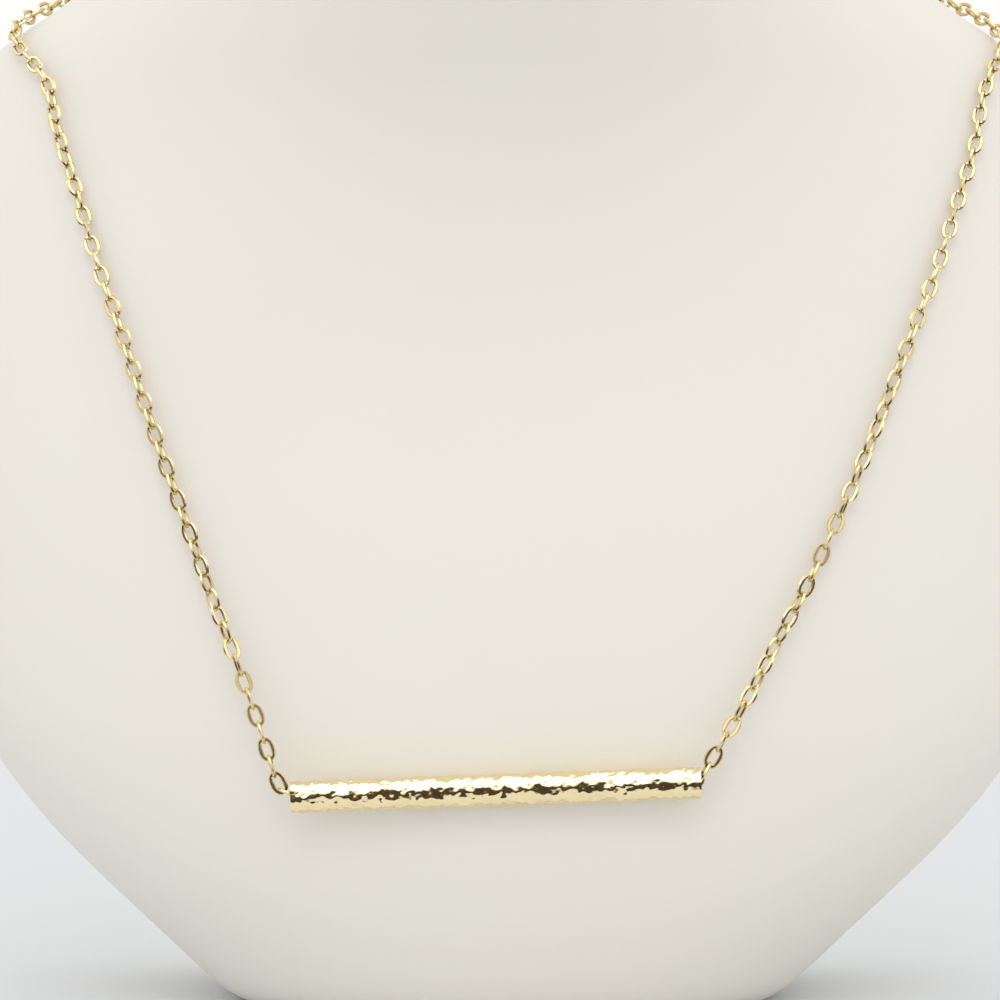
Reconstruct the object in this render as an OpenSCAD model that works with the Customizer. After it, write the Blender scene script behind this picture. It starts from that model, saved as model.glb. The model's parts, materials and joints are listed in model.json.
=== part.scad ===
// Bar pendant necklace on its display bust, in millimetres.
// The bust stands on z = 0 and faces -Y, and X = 0 is its middle.
// A hollow bar is threaded on a flat cable chain, which lies on the chest,
// goes over the shoulders and closes at the nape with a ring clasp.

/* [Bar] */
// Length of the hollow bar
bar_l = 50; // [36:1:60]
// Outer diameter of the bar
bar_d = 4; // [3.9:0.1:6]
// Wall of the bar
bar_wall = 0.35; // [0.2:0.05:0.4]
// Height of the bar's middle above the table
bar_z = 30; // [20:1:45]
// How far the bar's middle sits from the bust's middle
bar_shift = -1.1; // [-4:0.1:4]
// Slope of the bar, right end up, in degrees
bar_slope = 2; // [-4:0.5:4]

/* [Chain] */
// Length of a link
link_l = 3.1; // [3:0.05:3.3]
// Width of a link
link_w = 2.05; // [1.9:0.05:2.1]
// Width of the flattened wire, in the plane of the link
wire_w = 0.35; // [0.3:0.01:0.38]
// Thickness of the flattened wire, across the plane of the link
wire_t = 0.34; // [0.25:0.01:0.38]
// Clearance between two links in a straight run; a bend or a twist takes some of it
link_gap = 0.17; // [0.16:0.01:0.25]
// Clearance between the chain and the bar's bore
bore_gap = 0.12; // [0.1:0.01:0.15]
// Clearance between the chain and the rims of the bar's mouths
mouth_gap = 0.3; // [0.2:0.05:0.4]
// Clearance between the jewel and the bust
rest_gap = 0.25; // [0.15:0.05:0.5]

/* [Clasp] */
// Outer diameter of the clasp's ring
clasp_d = 6; // [5:0.1:8]
// Thickness of the ring
clasp_wire = 0.9; // [0.7:0.05:1]
// Outer diameter of the eyelet on the ring
eyelet_d = 2.6; // [2.3:0.1:3.2]
// Thickness of the eyelet
eyelet_wire = 0.55; // [0.4:0.05:0.7]
// Diameter of the thumb knob on the ring
knob_d = 1.3; // [1.1:0.1:1.8]

/* [Bust] */
// Height of the bust
bust_h = 200; // [170:5:240]
// Width across the chest
chest_w = 154; // [140:2:180]
// Depth of the chest
chest_d = 75; // [65:1:95]
// Width of the neck
neck_w = 78; // [66:1:90]
// Depth of the neck
neck_d = 64; // [56:1:80]

/* [Hidden] */
$fn = 48;

// Sections of the bust, from the foot to the top of the neck.
// Columns: height as a share of bust_h; how far the row follows the neck's sizes
// instead of the chest's; half width, front and back as shares of the half width
// and of the depth; power of the front curve and of the back curve.
HEIGHT = 0;
NECKNESS = 1;
WIDTH = 2;
FRONT = 3;
BACK = 4;
FRONT_POWER = 5;
BACK_POWER = 6;
SECTIONS = [
    [0,     0,    0.455, 0.367, 0.385, 2.3, 2.8],
    [0.01,  0,    0.497, 0.400, 0.420, 2.3, 2.8],
    [0.04,  0,    0.580, 0.440, 0.450, 2.3, 2.9],
    [0.08,  0,    0.692, 0.480, 0.470, 2.3, 3.0],
    [0.12,  0,    0.795, 0.505, 0.480, 2.3, 3.1],
    [0.18,  0,    0.906, 0.520, 0.480, 2.4, 3.2],
    [0.26,  0,    0.974, 0.522, 0.480, 2.4, 3.2],
    [0.36,  0,    1.000, 0.503, 0.480, 2.5, 3.2],
    [0.46,  0,    0.994, 0.460, 0.480, 2.5, 3.2],
    [0.53,  0,    0.976, 0.410, 0.480, 2.4, 3.1],
    [0.58,  0,    0.945, 0.373, 0.480, 2.3, 3.0],
    [0.62,  0,    0.890, 0.352, 0.480, 2.2, 2.8],
    [0.65,  0.15, 0.835, 0.348, 0.487, 2.2, 2.6],
    [0.68,  0.4,  0.850, 0.360, 0.502, 2.1, 2.4],
    [0.71,  0.7,  0.925, 0.383, 0.530, 2.1, 2.3],
    [0.75,  1,    1.080, 0.408, 0.572, 2.0, 2.2],
    [0.80,  1,    1.020, 0.420, 0.580, 2.0, 2.2],
    [0.88,  1,    0.990, 0.424, 0.580, 2.0, 2.2],
    [0.95,  1,    0.985, 0.424, 0.576, 2.0, 2.2],
    [0.985, 1,    0.960, 0.412, 0.560, 2.0, 2.2],
    [1,     1,    0.880, 0.370, 0.515, 2.0, 2.2]
];
SIDES = 48;
LEVELS_PER_ROW = 2;

// Route of each strand over the chest, from the bar's mouth to the shoulder.
// Columns: share of the way up; share of the way across; share of the mouth's
// stand-off from the bust that is left; how far the links have twisted, in degrees.
UP = 0;
ACROSS = 1;
STAND_OFF = 2;
TWIST = 3;
RIGHT_ROUTE = [
    [0,    0,     1,    0],
    [0.05, 0.07,  0.85, 20],
    [0.11, 0.15,  0.6,  42],
    [0.18, 0.235, 0.38, 60],
    [0.26, 0.335, 0.18, 85],
    [0.36, 0.445,  0.05, 115],
    [0.47, 0.555, 0,    145],
    [0.59, 0.665, 0,    175],
    [0.72, 0.785, 0,    195],
    [0.86, 0.9,   0,    220],
    [1,    1,     0,    230]
];
LEFT_ROUTE = [
    [0,    0,     1,    10],
    [0.02, 0.029, 0.94, 10],
    [0.05, 0.054, 0.85, 10],
    [0.10, 0.099, 0.62, 14],
    [0.18, 0.180, 0.38, 30],
    [0.26, 0.266, 0.18, 60],
    [0.36, 0.365, 0.05, 82],
    [0.50, 0.505, 0,    84],
    [0.64, 0.64,  0,    88],
    [0.78, 0.775, 0,    120],
    [0.90, 0.89,  0,    165],
    [1,    1,     0,    180]
];
// Where each strand reaches the shoulder: share of half the chest's width, and of bust_h
RIGHT_SHOULDER = [0.823, 0.608];
LEFT_SHOULDER = [0.787, 0.608];
// Route of both strands round the neck to the clasp.
// Columns: angle round the neck from its front, in degrees; height as a share of bust_h.
NAPE_ROUTE = [
    [92,  0.655],
    [112, 0.680],
    [132, 0.692],
    [152, 0.697],
    [166, 0.699]
];
// Twist of the strands round the neck, a whole number of quarter turns, so that the
// last link of each stands edge-on and takes the flat clasp
RIGHT_END_TWIST = 270;
LEFT_END_TWIST = 180;
CLASP_HEIGHT = 0.700;
SAMPLES = 14;

// Derived sizes
hole_r = link_w / 2 - wire_w;
// A wire seats this much short of the middle of the round end that it hangs in
seat = hole_r - sqrt(hole_r ^ 2 - (wire_t / 2) ^ 2);
pitch = link_l - 2 * wire_w - 2 * seat - link_gap;
bore_r = bar_d / 2 - bar_wall;
// The chain runs along the bar's axis and rises to its mouths, as high above the axis
// as the bore lets a face-on link and an edge-on link
face_rise = sqrt((bore_r - bore_gap) ^ 2 - (wire_t / 2) ^ 2) - link_w / 2;
edge_rise = sqrt((bore_r - bore_gap) ^ 2 - (link_w / 2) ^ 2) - wire_t / 2;
// On the left it rises over two links, most of the way in the last one
low_rise = edge_rise * 0.18;
ring_r = (clasp_d - clasp_wire) / 2;
eyelet_r = (eyelet_d - eyelet_wire) / 2;
eyelet_x = ring_r + eyelet_r;
ring_joint = ring_r - (clasp_wire + link_gap) / 2;
eyelet_joint = eyelet_x + eyelet_r - (eyelet_wire + link_gap) / 2;
clasp_span = ring_joint + eyelet_joint;

function mix(a, b, share) = a + (b - a) * share;
function unit(v) = v / norm(v);
function column(rows, c) = [for (row = rows) row[c]];

// Slope of a table's column at row i, from its neighbours
function slope_at(x, v, i) =
    let (lo = max(i - 1, 0), hi = min(i + 1, len(x) - 1))
    (v[hi] - v[lo]) / (x[hi] - x[lo]);

// Smooth curve through the points (x, v), read at one place
function smooth(x, v, at) =
    let (
        place = lookup(at, [for (i = [0:len(x) - 1]) [x[i], i]]),
        i = min(floor(place), len(x) - 2),
        t = place - i,
        step = x[i + 1] - x[i]
    )
    (2 * t ^ 3 - 3 * t ^ 2 + 1) * v[i] + (t ^ 3 - 2 * t ^ 2 + t) * step * slope_at(x, v, i)
    + (3 * t ^ 2 - 2 * t ^ 3) * v[i + 1] + (t ^ 3 - t ^ 2) * step * slope_at(x, v, i + 1);

// One section of the bust: half width, front, back, front power, back power
function section(z) =
    let (
        heights = column(SECTIONS, HEIGHT),
        read = function (c) smooth(heights, column(SECTIONS, c), z / bust_h),
        neckness = read(NECKNESS),
        depth = mix(chest_d, neck_d, neckness)
    )
    [
        read(WIDTH) * mix(chest_w, neck_w, neckness) / 2,
        read(FRONT) * depth,
        read(BACK) * depth,
        read(FRONT_POWER),
        read(BACK_POWER)
    ];

// A point of the bust's skin; the angle runs from the front to the right
function skin(angle, z) =
    let (
        s = section(z),
        front = cos(angle) > 0,
        depth = front ? s[1] : s[2],
        power = front ? s[3] : s[4],
        reach = (abs(sin(angle) / s[0]) ^ power + abs(cos(angle) / depth) ^ power) ^ (-1 / power)
    )
    [reach * sin(angle), -reach * cos(angle), z];

// Outward direction of the skin there
function skin_normal(angle, z) =
    let (
        turn = 0.5,
        rise = min(0.5, bust_h - z),
        across = skin(angle + turn, z) - skin(angle - turn, z),
        up = skin(angle, z + rise) - skin(angle, z - 0.5)
    )
    unit(cross(across, up));

// Where the chest's front lies at a place seen from the front
function front_y(x, z) =
    let (s = section(z))
    -s[1] * (1 - (abs(x) / s[0]) ^ s[3]) ^ (1 / s[3]);
function front_angle(x, z) = atan2(x, -front_y(x, z));

// The place on the chest from which a point at x, z stands off by lift: angle and height
function foot_of(x, z, lift) =
    let (n = skin_normal(front_angle(x, z), z))
    [front_angle(x - lift * n.x, z - lift * n.z), z - lift * n.z];

// Half the height that the chain takes off the skin when its links are twisted
function half_chain(twist) =
    let (c = abs(cos(twist)), s = abs(sin(twist)))
    (max(c, s) * link_w + min(c, s) * wire_t) / 2;

// The bar touches the chest at its middle
bar_y = front_y(bar_shift, bar_z) - bar_d / 2 - rest_gap;
bar_axis = [cos(bar_slope), 0, sin(bar_slope)];
bar_up = [-sin(bar_slope), 0, cos(bar_slope)];
function at_bar(along, rise) = [bar_shift, bar_y, bar_z] + along * bar_axis + rise * bar_up;

// The strands lean this much from the bar's axis as they leave it. In the bend there
// the two links sit deeper in each other, along the middle of the bend.
RIGHT_LEAN = 57;
LEFT_LEAN = 62;
BEND_SEAT = 0.22;
right_bend = (RIGHT_LEAN + asin(face_rise / pitch)) / 2;
left_bend = (LEFT_LEAN + asin((edge_rise - low_rise) / pitch)) / 2;
// On the right an edge-on link comes up through the mouth, clear of the bore's rim
right_rise = face_rise - BEND_SEAT * sin(right_bend);
rim_rise = sqrt(bore_r ^ 2 - (link_w / 2) ^ 2) - right_rise;
right_out = bar_l / 2 + mouth_gap + wire_t / 2 / sin(RIGHT_LEAN) - rim_rise / tan(RIGHT_LEAN);
// On the left a face-on link stands outside the mouth, its round end clear of the rim
left_rise = edge_rise - BEND_SEAT * sin(left_bend);
end_reach = wire_w + seat + link_gap / 2;
left_out = bar_l / 2 + mouth_gap + link_w / 2 - (link_w / 2 - end_reach) * cos(LEFT_LEAN);
function strand_start(side) =
    side > 0 ? at_bar(right_out, right_rise) : at_bar(-left_out, left_rise);
// The joints at the two ends of the chain's run in the bore
bore_from = -left_out - BEND_SEAT * cos(left_bend);
bore_to = right_out + BEND_SEAT * cos(right_bend);

// A place on a route: point, outward direction, twist of the links
function place(angle, z, lift, twist) =
    let (n = skin_normal(angle, z))
    [skin(angle, z) + lift * n, n, twist];

// One strand, as places from the bar's mouth to the clasp; side is 1 or -1
function strand_rows(side) =
    let (
        route = side > 0 ? RIGHT_ROUTE : LEFT_ROUTE,
        shoulder = side > 0 ? RIGHT_SHOULDER : LEFT_SHOULDER,
        end_twist = side > 0 ? RIGHT_END_TWIST : LEFT_END_TWIST,
        mouth = strand_start(side),
        end_x = side * shoulder.x * chest_w / 2,
        end_z = shoulder.y * bust_h,
        mouth_out = skin_normal(front_angle(mouth.x, mouth.z), mouth.z),
        mouth_lift = (mouth.y - front_y(mouth.x, mouth.z)) * mouth_out.y,
        clasp_z = CLASP_HEIGHT * bust_h,
        clasp_angle = 180 - atan2(clasp_span / 2, section(clasp_z)[2])
    )
    [
        for (row = route)
            let (
                x = mix(mouth.x, end_x, row[ACROSS]),
                z = mix(mouth.z, end_z, row[UP]),
                rest = half_chain(row[TWIST]) + rest_gap,
                lift = mix(rest, mouth_lift, row[STAND_OFF])
            )
            [each foot_of(x, z, lift), lift, row[TWIST]],
        for (row = NAPE_ROUTE)
            [side * row[0], row[1] * bust_h, half_chain(0) + rest_gap, end_twist],
        [side * clasp_angle, clasp_z, half_chain(0) + rest_gap, end_twist]
    ];

// The same strand as a fine, smooth line of places
function strand_line(side) =
    let (
        rows = strand_rows(side),
        count = [for (i = [0:len(rows) - 1]) i],
        c = [for (k = [0:3]) column(rows, k)]
    )
    [
        for (i = [0:(len(rows) - 1) * SAMPLES])
            let (t = i / SAMPLES)
            i == 0
                ? [strand_start(side), skin_normal(c[0][0], c[1][0]), c[3][0]]
                : place(smooth(count, c[0], t), smooth(count, c[1], t), smooth(count, c[2], t), smooth(count, c[3], t))
    ];

// Length of a line up to each of its places
function lengths(line) =
    [for (i = 0, run = 0; i < len(line);
        run = run + (i + 1 < len(line) ? norm(line[i + 1][0] - line[i][0]) : 0), i = i + 1) run];

// A place read at a length along a line
function along(line, runs, at) =
    let (
        p = lookup(at, [for (i = [0:len(runs) - 1]) [runs[i], i]]),
        i = min(floor(p), len(line) - 2)
    )
    mix(line[i], line[i + 1], p - i);

// The joints of a run of links, evenly spaced along a line. The links are even in number,
// so that the last one is square to the first
function joints_on(line) =
    let (
        runs = lengths(line),
        total = runs[len(runs) - 1],
        links = 2 * ceil(total / pitch / 2)
    )
    [for (i = [0:links]) along(line, runs, total * i / links)];

// The chain's line in the bar, from the left mouth to the right one
function bore_place(along, rise) = [at_bar(along, rise), [0, -1, 0], 0];
bore_line = [
    bore_place(bore_from, edge_rise),
    bore_place(bore_from + pitch * cos(asin((edge_rise - low_rise) / pitch)), low_rise),
    bore_place(bore_from + 2 * pitch, 0),
    bore_place(bore_to - pitch * cos(asin(face_rise / pitch)), 0),
    bore_place(bore_to, face_rise)
];

// One flat link: a round-ended ring, its length along X
module oval(length, width) {
    for (x = [-1, 1])
        translate([x * (length - width) / 2, 0]) circle(d = width);
    square([length - width, width], center = true);
}
module link() {
    linear_extrude(wire_t, center = true)
        difference() {
            oval(link_l, link_w);
            oval(link_l - 2 * wire_w, link_w - 2 * wire_w);
        }
}

// A link between two joints, lying face-on to their outward directions when turn is 0
module link_between(a, b, turn) {
    x = unit(b[0] - a[0]);
    n = unit(mix(a[1], b[1], 0.5));
    out = unit(n - (n * x) * x);
    side = cross(out, x);
    y = cos(turn) * side + sin(turn) * out;
    z = cross(x, y);
    at = mix(a[0], b[0], 0.5);
    multmatrix([
        [x.x, y.x, z.x, at.x],
        [x.y, y.y, z.y, at.y],
        [x.z, y.z, z.z, at.z]
    ])
        link();
}

// A run of links through a list of joints, each a quarter turn from the last
module run_of_links(joints, first_turn, sense) {
    for (i = [0:len(joints) - 2])
        link_between(joints[i], joints[i + 1],
            sense * mix(joints[i][2], joints[i + 1][2], 0.5) + first_turn + 90 * i);
}

// Each half of the chain: its links in the bar, then its strand.
// The left mouth's strand starts face-on and the right one's edge-on.
module chain(side) {
    bore = joints_on(bore_line);
    half = (len(bore) - 1) / 2;
    first = side > 0 ? half : 0;
    run_of_links([for (i = [first:first + half]) bore[i]], 90 + 90 * first, 1);
    run_of_links(joints_on(strand_line(side)), side > 0 ? 90 : 0, -side);
}

module chain_left() {
    color("gold") chain(-1);
}

module chain_right() {
    color("gold") chain(1);
}

module bar_tube() {
    color("goldenrod")
        translate([bar_shift, bar_y, bar_z])
            rotate([0, 90 - bar_slope, 0])
                difference() {
                    cylinder(d = bar_d, h = bar_l, center = true);
                    cylinder(r = bore_r, h = bar_l + 1, center = true);
                }
}

// A ring of round wire lying in the XY plane
module wire_ring(r, wire) {
    rotate_extrude() translate([r, 0]) circle(d = wire);
}

// The clasp lies on the nape, its ring to the right strand and its eyelet to the left
module clasp() {
    z = CLASP_HEIGHT * bust_h;
    right = strand_rows(1);
    last = right[len(right) - 1];
    joint = place(last[0], last[1], last[2], 0)[0];
    out = skin_normal(180, z);
    color("gold")
        translate([joint.x - ring_joint, joint.y, joint.z])
            rotate([-90 + asin(out.z), 0, 0]) {
                wire_ring(ring_r, clasp_wire);
                translate([-eyelet_x, 0, 0]) wire_ring(eyelet_r, eyelet_wire);
                translate([0, ring_r, 0]) sphere(d = knob_d);
            }
}

// The skin is a loft through the sections, closed flat at the foot and the top
module display_bust() {
    heights = column(SECTIONS, HEIGHT);
    levels = [
        for (i = [0:len(heights) - 2], k = [0:LEVELS_PER_ROW - 1])
            mix(heights[i], heights[i + 1], k / LEVELS_PER_ROW) * bust_h,
        bust_h
    ];
    rings = [for (z = levels) [for (i = [0:SIDES - 1]) skin_at_share(i / SIDES, z)]];
    last = (len(levels) - 1) * SIDES;
    color("antiquewhite")
        polyhedron(
            points = [for (ring = rings, p = ring) p],
            faces = [
                [for (i = [0:SIDES - 1]) i],
                for (k = [0:len(levels) - 2], i = [0:SIDES - 1])
                    let (a = k * SIDES + i, b = k * SIDES + (i + 1) % SIDES)
                    [a, a + SIDES, b + SIDES, b],
                [for (i = [SIDES - 1:-1:0]) last + i]
            ]
        );
}

// Points spread evenly round a section by the angle of its own curve
function skin_at_share(share, z) =
    let (
        t = 360 * share,
        s = section(z),
        front = cos(t) > 0,
        depth = front ? s[1] : s[2],
        bend = 2 / (front ? s[3] : s[4])
    )
    [
        s[0] * sign(sin(t)) * abs(sin(t)) ^ bend,
        -depth * sign(cos(t)) * abs(cos(t)) ^ bend,
        z
    ];

display_bust();
bar_tube();
chain_left();
chain_right();
clasp();
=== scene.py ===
"""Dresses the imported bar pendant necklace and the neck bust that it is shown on."""

import json
import math

import bpy
import numpy as np
from mathutils import Matrix, Vector

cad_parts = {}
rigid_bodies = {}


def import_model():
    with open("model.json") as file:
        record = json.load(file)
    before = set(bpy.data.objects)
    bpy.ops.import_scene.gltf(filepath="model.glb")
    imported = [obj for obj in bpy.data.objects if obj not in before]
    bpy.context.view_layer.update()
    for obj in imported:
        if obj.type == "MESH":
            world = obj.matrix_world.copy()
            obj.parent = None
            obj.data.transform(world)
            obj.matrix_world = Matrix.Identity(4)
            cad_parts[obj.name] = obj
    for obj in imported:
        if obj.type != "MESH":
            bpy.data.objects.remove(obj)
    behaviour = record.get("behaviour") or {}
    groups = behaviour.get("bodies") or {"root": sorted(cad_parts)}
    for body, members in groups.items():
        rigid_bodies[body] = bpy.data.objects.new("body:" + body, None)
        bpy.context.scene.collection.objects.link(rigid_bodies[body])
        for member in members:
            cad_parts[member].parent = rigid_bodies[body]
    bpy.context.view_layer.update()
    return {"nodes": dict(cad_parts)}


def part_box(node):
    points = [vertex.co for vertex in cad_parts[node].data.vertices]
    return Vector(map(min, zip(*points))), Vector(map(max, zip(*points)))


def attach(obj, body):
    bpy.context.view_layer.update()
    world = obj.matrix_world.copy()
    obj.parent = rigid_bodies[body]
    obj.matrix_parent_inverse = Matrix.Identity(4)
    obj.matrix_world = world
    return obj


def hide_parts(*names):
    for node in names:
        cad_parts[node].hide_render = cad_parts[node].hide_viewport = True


bl_info = {
    "name": "Bar Pendant Necklace",
    "version": (1, 0, 0),
    "blender": (4, 5, 0),
    "location": "3D View > Sidebar > Necklace",
    "description": "Hammered bar on a flat cable chain, on its leatherette neck bust",
    "category": "Object",
}

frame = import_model()
ROOT = "root"
MM = 0.001
# A length under this counts as none
TINY = 0.001 * MM
# Two directions are nearly the same where the cosine between them is over this
NEARLY_ALONG = 0.9
# The bar's skin is cut across 96 times, and each of those rings 3 times more
BAR_SIDES = 96
BAR_CUTS = (96, 3)
# A link of the chain is coarse, because there are hundreds
LINK_SEGMENTS = 16
WIRE_SIDES = 6


# Small helpers


def srgb(code):
    """A hex colour as linear red, green, blue and alpha."""
    parts = [int(code[i : i + 2], 16) / 255 for i in (1, 3, 5)]
    return (*[c / 12.92 if c <= 0.04045 else ((c + 0.055) / 1.055) ** 2.4 for c in parts], 1.0)


def start_clean():
    """Object mode with nothing selected, so that an operator acts only on what comes next."""
    if bpy.context.object is not None and bpy.context.object.mode != "OBJECT":
        bpy.ops.object.mode_set(mode="OBJECT")
    bpy.ops.object.select_all(action="DESELECT")


def take(piece):
    """Makes a piece the active one, with nothing else selected."""
    start_clean()
    piece.select_set(True)
    bpy.context.view_layer.objects.active = piece


def edit(piece, elements="VERT"):
    """Opens a piece in edit mode, with nothing of it selected."""
    take(piece)
    bpy.ops.object.mode_set(mode="EDIT")
    bpy.ops.mesh.select_mode(type=elements)
    bpy.ops.mesh.select_all(action="DESELECT")


def pick(piece, test, elements="VERT"):
    """In edit mode, selects what passes a test of its middle and of its normal or, for an edge, its run."""
    bpy.ops.object.mode_set(mode="OBJECT")
    mesh = piece.data
    for group in (mesh.vertices, mesh.edges, mesh.polygons):
        group.foreach_set("select", [False] * len(group))
    if elements == "VERT":
        for v in mesh.vertices:
            v.select = test(v.co, v.normal)
    elif elements == "EDGE":
        for e in mesh.edges:
            a, b = (mesh.vertices[i].co for i in e.vertices)
            e.select = test((a + b) / 2, b - a)
    else:
        for p in mesh.polygons:
            p.select = test(p.center, p.normal)
    bpy.ops.object.mode_set(mode="EDIT")
    bpy.ops.mesh.select_mode(type=elements)


def apply_modifier(piece, kind, name, **settings):
    """Adds a modifier with its settings, and makes its result the mesh."""
    take(piece)
    modifier = piece.modifiers.new(name, kind)
    for key, value in settings.items():
        setattr(modifier, key, value)
    bpy.ops.object.modifier_apply(modifier=modifier.name)


def settle(piece, name):
    """Names a piece and puts its place into its mesh."""
    take(piece)
    bpy.ops.object.transform_apply(location=True, rotation=True, scale=True)
    piece.name = piece.data.name = name
    return piece


def copy_of_node(node, name):
    """A piece made from a CAD node's mesh, with its loose triangles merged."""
    piece = bpy.data.objects.new(name, frame["nodes"][node].data.copy())
    bpy.context.scene.collection.objects.link(piece)
    piece.data.materials.clear()
    edit(piece)
    bpy.ops.mesh.select_all(action="SELECT")
    bpy.ops.mesh.remove_doubles(threshold=TINY)
    bpy.ops.mesh.customdata_custom_splitnormals_clear()
    start_clean()
    return piece


def finish_piece(piece, material, slot, *nodes):
    """Gives a piece its material and its body, and says which CAD nodes it replaces; its slot is not used."""
    piece.data.materials.clear()
    piece.data.materials.append(material)
    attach(piece, ROOT)
    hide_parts(*nodes)


def add_node(tree, kind, settings=None, inputs=None, links=None):
    """Adds a shader node, with its settings, its input values and what its inputs are linked to."""
    node = tree.nodes.new(kind)
    for key, value in (settings or {}).items():
        setattr(node, key, value)
    for key, value in (inputs or {}).items():
        node.inputs[key].default_value = value
    for key, (source, socket) in (links or {}).items():
        tree.links.new(source.outputs[socket], node.inputs[key])
    return node


def new_material(name):
    """A material with no nodes yet, and its node tree."""
    material = bpy.data.materials.new(name)
    material.use_nodes = True
    tree = material.node_tree
    tree.nodes.clear()
    return material, tree


def colour_prop(name, description, code):
    """A setting that holds a colour, from its hex code."""
    return bpy.props.FloatVectorProperty(
        name=name, description=description, subtype="COLOR", size=4, min=0, max=1, default=srgb(code)
    )


def length_prop(name, description, millimetres):
    """A setting that holds a length, from its millimetres."""
    return bpy.props.FloatProperty(
        name=name, description=description, subtype="DISTANCE", unit="LENGTH", min=0, precision=5,
        default=millimetres * MM,
    )


# Materials


def leatherette(settings):
    """Cream PU leatherette, embossed with a fine grain: matt, with a soft low sheen."""
    material, tree = new_material("cream_pu_leatherette")
    where = add_node(tree, "ShaderNodeTexCoord")
    # Slight unevenness of the cover's colour, a few centimetres across
    clouds = add_node(
        tree, "ShaderNodeTexNoise", inputs={"Scale": 1 / settings.patch, "Detail": 2, "Roughness": 0.5},
        links={"Vector": (where, "Object")},
    )
    colour = add_node(
        tree, "ShaderNodeMix", {"data_type": "RGBA"},
        {"A": settings.colour, "B": settings.warm_colour}, {"Factor": (clouds, "Fac")},
    )
    # Embossed grain: pebbles a millimetre wide, with finer creases between them
    pebbles = add_node(
        tree, "ShaderNodeTexVoronoi", {"feature": "F1"},
        {"Scale": 1 / settings.grain}, {"Vector": (where, "Object")},
    )
    creases = add_node(
        tree, "ShaderNodeTexNoise", inputs={"Scale": 2.5 / settings.grain, "Detail": 1, "Roughness": 0.6},
        links={"Vector": (where, "Object")},
    )
    low = add_node(
        tree, "ShaderNodeBump", inputs={"Strength": 0.22, "Distance": 0.06 * MM},
        links={"Height": (pebbles, "Distance")},
    )
    fine = add_node(
        tree, "ShaderNodeBump", inputs={"Strength": 0.18, "Distance": 0.03 * MM},
        links={"Height": (creases, "Fac"), "Normal": (low, "Normal")},
    )
    shader = add_node(
        tree, "ShaderNodeBsdfPrincipled",
        inputs={"Roughness": 0.62, "IOR": 1.5, "Specular IOR Level": 0.25, "Sheen Weight": 0.05},
        links={"Base Color": (colour, "Result"), "Normal": (fine, "Normal")},
    )
    add_node(tree, "ShaderNodeOutputMaterial", links={"Surface": (shader, "BSDF")})
    return material


# How each gold plate is finished: its roughness, and the width and depth of its fine marks
GOLD_FINISHES = {
    "hammered_gold_plate": (0.1, 0.3 * MM, 0.012 * MM),
    "rolled_gold_plate": (0.26, 0.5 * MM, 0.002 * MM),
    "polished_gold_plate": (0.12, 0.6 * MM, 0.002 * MM),
}


def gold_plate(name, colour, deep_colour, patch):
    """Bright gold plate on brass: mirror-like, with its colour a little uneven where it is thin."""
    roughness, mark, mark_depth = GOLD_FINISHES[name]
    material, tree = new_material(name)
    where = add_node(tree, "ShaderNodeTexCoord")
    wear = add_node(
        tree, "ShaderNodeTexNoise", inputs={"Scale": 1 / patch, "Detail": 3, "Roughness": 0.6},
        links={"Vector": (where, "Object")},
    )
    plate = add_node(
        tree, "ShaderNodeMix", {"data_type": "RGBA"},
        {"A": colour, "B": deep_colour}, {"Factor": (wear, "Fac")},
    )
    # Fine marks of the hammer, the rolls or the polishing wheel
    marks = add_node(
        tree, "ShaderNodeTexNoise", inputs={"Scale": 1 / mark, "Detail": 4, "Roughness": 0.65},
        links={"Vector": (where, "Object")},
    )
    bump = add_node(
        tree, "ShaderNodeBump", inputs={"Strength": 1.0, "Distance": mark_depth},
        links={"Height": (marks, "Fac")},
    )
    # Where the plate's colour is deeper it is duller too
    rough = add_node(
        tree, "ShaderNodeMapRange", inputs={"To Min": roughness * 0.6, "To Max": roughness * 1.4},
        links={"Value": (wear, "Fac")},
    )
    shader = add_node(
        tree, "ShaderNodeBsdfPrincipled", inputs={"Metallic": 1.0},
        links={
            "Base Color": (plate, "Result"), "Roughness": (rough, "Result"), "Normal": (bump, "Normal"),
        },
    )
    add_node(tree, "ShaderNodeOutputMaterial", links={"Surface": (shader, "BSDF")})
    return material


def studio_paper(name, colour):
    """Coloured studio paper or card: matt, with no sheen."""
    material, tree = new_material(name)
    shader = add_node(
        tree, "ShaderNodeBsdfPrincipled",
        inputs={"Base Color": colour, "Roughness": 0.9, "Specular IOR Level": 0.2},
    )
    add_node(tree, "ShaderNodeOutputMaterial", links={"Surface": (shader, "BSDF")})
    return material


# Settings


class NecklaceBustSettings(bpy.types.PropertyGroup):
    colour: colour_prop("Colour", "Colour of the leatherette", "#EFECE5")
    warm_colour: colour_prop("Warm colour", "Colour of its warmer patches", "#EDE8DD")
    patch: length_prop("Patch", "Width of a warmer patch", 45)
    grain: length_prop("Grain", "Width of a pebble of the embossed grain", 1.1)


class NecklaceMetalSettings(bpy.types.PropertyGroup):
    colour: colour_prop("Colour", "Colour of the bar's gold plate", "#F9EBC4")
    deep_colour: colour_prop("Deep colour", "Colour of its deeper patches", "#F1DDA9")
    chain_colour: colour_prop("Chain colour", "Colour of the chain's gold plate", "#ECDAAE")
    chain_deep_colour: colour_prop("Chain deep colour", "Colour of its deeper patches", "#DBC48A")
    patch: length_prop("Patch", "Width of a patch of the plate", 2.5)


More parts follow.
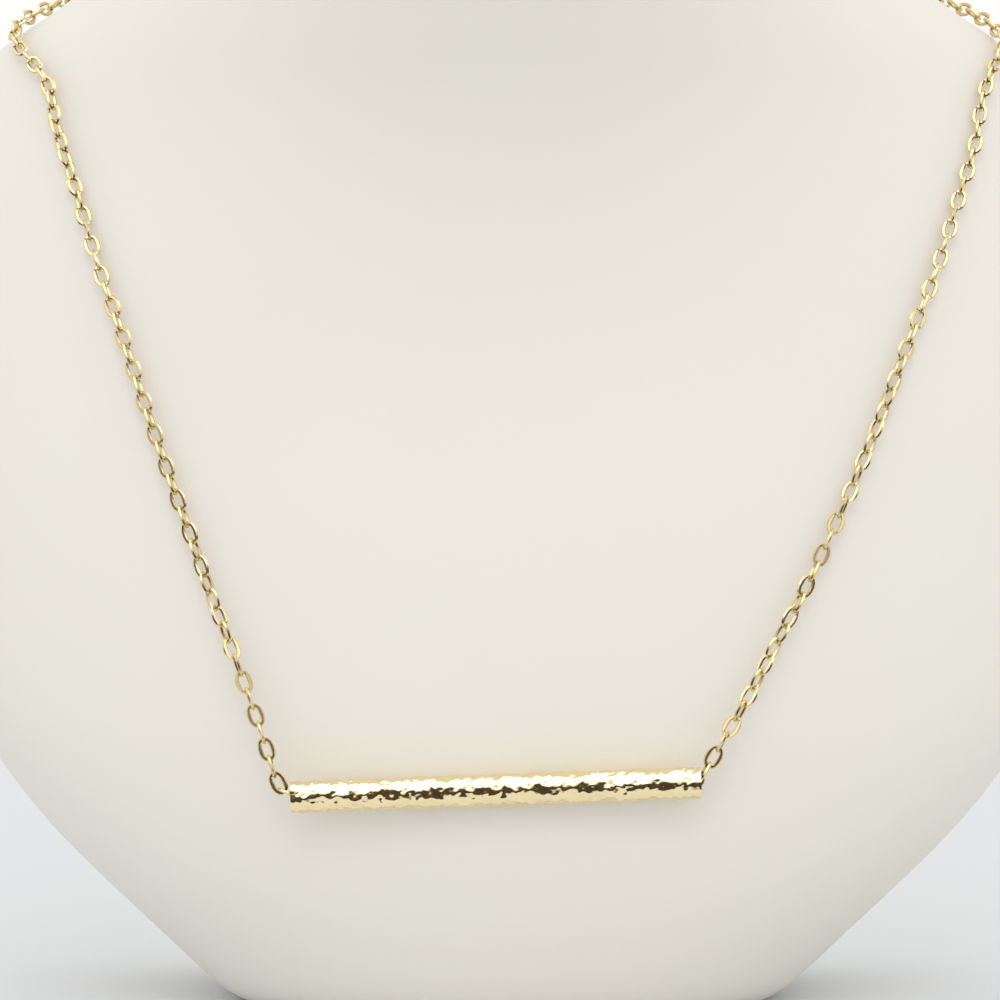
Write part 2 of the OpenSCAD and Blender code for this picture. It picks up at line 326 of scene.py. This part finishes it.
class NecklaceBarSettings(bpy.types.PropertyGroup):
    diameter: length_prop("Diameter", "Outer diameter of the bar", 4)
    length: length_prop("Length", "Length of the bar", 50)
    wall: length_prop("Wall", "Wall of the bar", 0.35)
    slope: bpy.props.FloatProperty(
        name="Slope", description="Slope of the bar, right end up", subtype="ANGLE", default=math.radians(2)
    )
    dent: length_prop("Dent", "Width of a hammer mark", 2.0)
    dent_depth: length_prop("Dent depth", "Depth of a hammer mark", 0.32)
    crinkle: length_prop("Crinkle", "Width of a fine crinkle", 0.75)
    crinkle_depth: length_prop("Crinkle depth", "Depth of a fine crinkle", 0.24)


class NecklaceChainSettings(bpy.types.PropertyGroup):
    link_length: length_prop("Link length", "Length of a link", 3.1)
    link_width: length_prop("Link width", "Width of a link", 2.0)
    wire_width: length_prop("Wire width", "Width of the flattened wire at a link's ends", 0.46)
    side_width: length_prop("Side width", "Width of the flattened wire at a link's sides", 0.58)
    wire_thickness: length_prop("Wire thickness", "Thickness of the flattened wire", 0.38)


class NecklaceStageSettings(bpy.types.PropertyGroup):
    floor_colour: colour_prop("Floor", "Colour of the studio floor", "#E2E5E8")
    card_colour: colour_prop("Card", "Colour of the dark card that draws the bar's edge", "#3E3122")


# Pieces


class NECKLACE_OT_bust(bpy.types.Operator):
    """Neck bust: a plain form under a leatherette cover"""

    bl_idname = "necklace.bust"
    bl_label = "Display bust"

    # Rings inside the rims of the foot and the top, which keep both flat under the smoothing
    RIM_RINGS = (2.5 * MM, 6 * MM)
    # A face lies in the foot or the top where it is this near to that level
    LEVEL_REACH = 0.01 * MM

    def execute(self, context):
        bust = copy_of_node("display_bust", "leatherette_bust")
        low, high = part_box("display_bust")
        edit(bust)
        bpy.ops.mesh.select_all(action="SELECT")
        bpy.ops.mesh.tris_convert_to_quads(
            face_threshold=math.pi, shape_threshold=math.pi, topology_influence=2
        )
        # The foot and the top become one face each
        for level, up in ((low.z, -1), (high.z, 1)):
            pick(
                bust,
                lambda middle, normal: abs(middle.z - level) < self.LEVEL_REACH
                and normal.z * up > NEARLY_ALONG,
                "FACE",
            )
            bpy.ops.mesh.dissolve_faces()
            for ring in self.RIM_RINGS:
                bpy.ops.mesh.inset(thickness=ring, depth=0)
        start_clean()
        apply_modifier(bust, "SUBSURF", "Smooth cover", levels=2, render_levels=2)
        take(bust)
        bpy.ops.object.shade_smooth()
        settle(bust, "leatherette_bust")
        finish_piece(bust, leatherette(context.scene.necklace_bust), "leatherette", "display_bust")
        return {"FINISHED"}


class NECKLACE_OT_bar(bpy.types.Operator):
    """Hollow bar, hammered on the outside and cut square at its ends"""

    bl_idname = "necklace.bar"
    bl_label = "Hammered bar"

    # The hammered skin starts this far inside the bar's diameter, as its marks stand out as well as in
    SKIN_ROOM = 0.06 * MM
    # Hammering shifts an end's rim along the bar by less than this
    RIM_REACH = 0.05 * MM

    def tube(self, radius, length, cuts=()):
        """An open tube along X, cut across into rings of near square faces."""
        start_clean()
        bpy.ops.mesh.primitive_cylinder_add(
            vertices=BAR_SIDES, radius=radius, depth=length, end_fill_type="NOTHING",
            rotation=(0, math.pi / 2, 0),
        )
        tube = settle(bpy.context.object, "tube")
        for number in cuts:
            edit(tube, "EDGE")
            pick(tube, lambda middle, run: abs(run.x) > NEARLY_ALONG * run.length, "EDGE")
            bpy.ops.mesh.subdivide(number_cuts=number)
        start_clean()
        return tube

    def hammer(self, tube, width, depth):
        """Beats the surface in and out, in uneven marks of a given width."""
        texture = bpy.data.textures.new("hammer marks", "CLOUDS")
        texture.noise_scale = width
        texture.noise_depth = 1
        apply_modifier(
            tube, "DISPLACE", "Hammer", texture=texture, texture_coords="LOCAL", direction="NORMAL",
            strength=depth, mid_level=0.5,
        )
        bpy.data.textures.remove(texture)

    def execute(self, context):
        s = context.scene.necklace_bar
        outer = self.tube(s.diameter / 2 - self.SKIN_ROOM, s.length, BAR_CUTS)
        for width, depth in ((s.dent, s.dent_depth), (s.crinkle, s.crinkle_depth)):
            self.hammer(outer, width, depth)
        inner = self.tube(s.diameter / 2 - s.wall, s.length)
        # The bore's skin faces inwards, as the end rings need it to
        edit(inner)
        bpy.ops.mesh.select_all(action="SELECT")
        bpy.ops.mesh.flip_normals()
        take(outer)
        inner.select_set(True)
        bpy.ops.object.join()
        # Each end is cut square, and then its outer and inner rings are joined
        for end in (-s.length / 2, s.length / 2):
            edit(outer)
            pick(outer, lambda place, normal: abs(place.x - end) < self.RIM_REACH)
            bpy.ops.transform.resize(value=(0, 1, 1))
            edit(outer, "EDGE")
            pick(
                outer,
                lambda middle, run: abs(middle.x - end) < self.RIM_REACH and abs(run.x) < TINY,
                "EDGE",
            )
            bpy.ops.mesh.bridge_edge_loops()
        edit(outer)
        bpy.ops.mesh.select_all(action="SELECT")
        bpy.ops.mesh.normals_make_consistent(inside=False)
        start_clean()
        low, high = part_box("bar_tube")
        outer.rotation_euler.y = -s.slope
        outer.location = (low + high) / 2
        settle(outer, "hammered_bar")
        bpy.ops.object.shade_smooth_by_angle(angle=math.radians(60))
        metal = context.scene.necklace_metal
        material = gold_plate("hammered_gold_plate", metal.colour, metal.deep_colour, metal.patch)
        finish_piece(outer, material, "hammered_gold_plate", "bar_tube")
        return {"FINISHED"}


class NECKLACE_OT_chain(bpy.types.Operator):
    """Flat oval cable chain, in two halves that meet in the bar"""

    bl_idname = "necklace.chain"
    bl_label = "Cable chain"

    # An ellipse's ends have 1 here, and a lower number makes them fuller
    END_POWER = 0.7
    # A vertex belongs to a turn of the ring where it is this near to it, in radians
    TURN_REACH = 0.1

    def link(self, s):
        """One link: a ring of flattened wire, drawn out to an oval and rolled wider at its sides."""
        start_clean()
        bpy.ops.mesh.primitive_torus_add(
            major_segments=LINK_SEGMENTS, minor_segments=WIRE_SIDES, rotation=(0, 0, math.pi / LINK_SEGMENTS),
            major_radius=(s.link_width - s.wire_width) / 2, minor_radius=s.wire_width / 2,
        )
        link = settle(bpy.context.object, "link")
        for i in range(LINK_SEGMENTS):
            turn = (i + 0.5) * 2 * math.pi / LINK_SEGMENTS
            edit(link)
            pick(
                link,
                lambda place, normal: abs(math.remainder(math.atan2(place.y, place.x) - turn, 2 * math.pi))
                < self.TURN_REACH,
            )
            out = math.copysign(abs(math.cos(turn)) ** self.END_POWER, math.cos(turn))
            bpy.ops.transform.translate(value=(out * (s.link_length - s.link_width) / 2, 0, 0))
            wider = 1 + (s.side_width / s.wire_width - 1) * math.sin(turn) ** 2
            bpy.ops.transform.resize(value=(wider, wider, 1))
        start_clean()
        # A six-sided wire is thinner than it is wide, by the sine of 60 degrees
        link.scale.z = s.wire_thickness / (s.wire_width * math.sin(math.pi / 3))
        settle(link, "link")
        bpy.ops.object.shade_smooth_by_angle(angle=math.radians(50))
        return link

    def places(self, node):
        """Where each link of a CAD node is: its middle, and its long, wide and thin directions."""
        whole = copy_of_node(node, "links")
        edit(whole)
        bpy.ops.mesh.select_all(action="SELECT")
        bpy.ops.mesh.separate(type="LOOSE")
        start_clean()
        found = []
        for part in [o for o in bpy.context.scene.objects if o.name.startswith("links")]:
            points = np.array([v.co for v in part.data.vertices])
            middle = points.mean(axis=0)
            _, axes = np.linalg.eigh((points - middle).T @ (points - middle))
            thin, wide, long = axes.T
            middle = sum(((points @ a).min() + (points @ a).max()) / 2 * a for a in (thin, wide, long))
            if np.dot(np.cross(long, wide), thin) < 0:
                thin = -thin
            rows = [[*row, m] for row, m in zip(np.array([long, wide, thin]).T, middle)]
            found.append(Matrix([*rows, [0, 0, 0, 1]]))
            mesh = part.data
            bpy.data.objects.remove(part)
            bpy.data.meshes.remove(mesh)
        return found

    def execute(self, context):
        link = self.link(context.scene.necklace_chain)
        metal = context.scene.necklace_metal
        material = gold_plate("rolled_gold_plate", metal.chain_colour, metal.chain_deep_colour, metal.patch)
        for node in ("chain_left", "chain_right"):
            copies = []
            for place in self.places(node):
                copy = link.copy()
                copy.data = link.data.copy()
                copy.data.transform(place)
                bpy.context.scene.collection.objects.link(copy)
                copies.append(copy)
            take(copies[0])
            for copy in copies:
                copy.select_set(True)
            bpy.ops.object.join()
            chain = settle(bpy.context.object, "cable_" + node)
            finish_piece(chain, material, "gold_plate", node)
        bpy.data.objects.remove(link)
        return {"FINISHED"}


class NECKLACE_OT_clasp(bpy.types.Operator):
    """Ring clasp with its eyelet and thumb knob"""

    bl_idname = "necklace.clasp"
    bl_label = "Ring clasp"

    def execute(self, context):
        clasp = copy_of_node("clasp", "ring_clasp")
        settle(clasp, "ring_clasp")
        bpy.ops.object.shade_smooth_by_angle(angle=math.radians(40))
        metal = context.scene.necklace_metal
        material = gold_plate("polished_gold_plate", metal.chain_colour, metal.chain_deep_colour, metal.patch)
        finish_piece(clasp, material, "gold_plate", "clasp")
        return {"FINISHED"}


class NECKLACE_OT_stage(bpy.types.Operator):
    """Pale floor, soft studio light and the camera"""

    bl_idname = "necklace.stage"
    bl_label = "Stage"

    def sheet(self, name, place, tilt, size, material, hidden_from=()):
        """A flat sheet of paper or card, tilted about its width."""
        start_clean()
        bpy.ops.mesh.primitive_plane_add(size=1, location=place, rotation=(tilt, 0, 0))
        sheet = bpy.context.object
        sheet.name = name
        sheet.scale = (*size, 1)
        sheet.data.materials.append(material)
        for kind in hidden_from:
            setattr(sheet, "visible_" + kind, False)
        return sheet

    def softbox(self, name, place, towards, size, power, surfaces):
        """A soft light that the camera doesn't see, for diffuse surfaces or for glossy ones."""
        start_clean()
        bpy.ops.object.light_add(type="AREA", location=place)
        light = bpy.context.object
        light.name = name
        light.rotation_euler = (Vector(towards) - Vector(place)).to_track_quat("-Z", "Y").to_euler()
        light.data.shape = "RECTANGLE"
        light.data.size, light.data.size_y = size
        light.data.energy = power
        light.visible_camera = False
        light.visible_diffuse = surfaces == "diffuse"
        light.visible_glossy = surfaces == "glossy"

    def execute(self, context):
        s = context.scene.necklace_stage
        paper = studio_paper("pale_studio_paper", s.floor_colour)
        dark = studio_paper("dark_studio_card", s.card_colour)
        floor = self.sheet("floor", (0, 0, 0), 0, (12, 12), paper)
        # A dark card leans before the bust, out of the camera's sight, and draws the dark line in the gold
        card = self.sheet(
            "dark_card", (0, -0.23, 0.0726), -math.atan(0.4325), (0.8, 0.318), dark,
            hidden_from=("camera", "diffuse", "shadow"),
        )
        # A small flag takes the glare off the throat
        flag = self.sheet(
            "flag", (0, -0.1, 0.17), math.radians(60), (0.07, 0.04), dark, hidden_from=("camera", "glossy")
        )

        # The key shades the bust, and the other two are what the gold mirrors
        self.softbox("key", (0, -0.6, 0.5), (0, -0.04, 0.05), (0.4, 0.3), 0.6, "diffuse")
        self.softbox("sky_panel", (0, -0.52, 0.7), (0, -0.52, 0), (1.8, 1.25), 8, "glossy")
        self.softbox("floor_strip", (0, -0.06, 0.003), (0, -0.06, 1), (0.3, 0.05), 0.007, "glossy")

        world = bpy.data.worlds.new("studio")
        world.use_nodes = True
        background = world.node_tree.nodes["Background"]
        background.inputs["Color"].default_value = srgb("#F5F4F2")
        background.inputs["Strength"].default_value = 1.1
        context.scene.world = world

        # The photo's view: level and from straight before the bust, about half a metre off
        camera = bpy.data.objects.new("camera", bpy.data.cameras.new("camera"))
        context.scene.collection.objects.link(camera)
        camera.location = (-0.6 * MM, -490.85 * MM, 65.4 * MM)
        camera.rotation_euler = (math.pi / 2, 0, 0)
        camera.data.sensor_width = 36
        camera.data.lens = 132.8
        camera.data.clip_start = 0.01
        context.scene.camera = camera
        context.scene.view_settings.view_transform = "Standard"
        return {"FINISHED"}


class NECKLACE_PT_panel(bpy.types.Panel):
    """Builds each piece of the necklace and its stage"""

    bl_label = "Necklace"
    bl_idname = "NECKLACE_PT_panel"
    bl_space_type = "VIEW_3D"
    bl_region_type = "UI"
    bl_category = "Necklace"

    def draw(self, context):
        for name, group in SETTINGS.items():
            box = self.layout.box()
            for key in group.__annotations__:
                box.prop(getattr(context.scene, name), key)
        for operator in OPERATORS:
            self.layout.operator(operator.bl_idname)


SETTINGS = {
    "necklace_bust": NecklaceBustSettings,
    "necklace_metal": NecklaceMetalSettings,
    "necklace_bar": NecklaceBarSettings,
    "necklace_chain": NecklaceChainSettings,
    "necklace_stage": NecklaceStageSettings,
}
OPERATORS = (NECKLACE_OT_bust, NECKLACE_OT_bar, NECKLACE_OT_chain, NECKLACE_OT_clasp, NECKLACE_OT_stage)


def register():
    for group in (*SETTINGS.values(), *OPERATORS, NECKLACE_PT_panel):
        bpy.utils.register_class(group)
    for name, group in SETTINGS.items():
        setattr(bpy.types.Scene, name, bpy.props.PointerProperty(type=group))


def unregister():
    for name in SETTINGS:
        delattr(bpy.types.Scene, name)
    for group in reversed((*SETTINGS.values(), *OPERATORS, NECKLACE_PT_panel)):
        bpy.utils.unregister_class(group)


def main():
    register()
    bpy.ops.necklace.bust()
    bpy.ops.necklace.bar()
    bpy.ops.necklace.chain()
    bpy.ops.necklace.clasp()
    bpy.ops.necklace.stage()


if __name__ == "__main__":
    main()
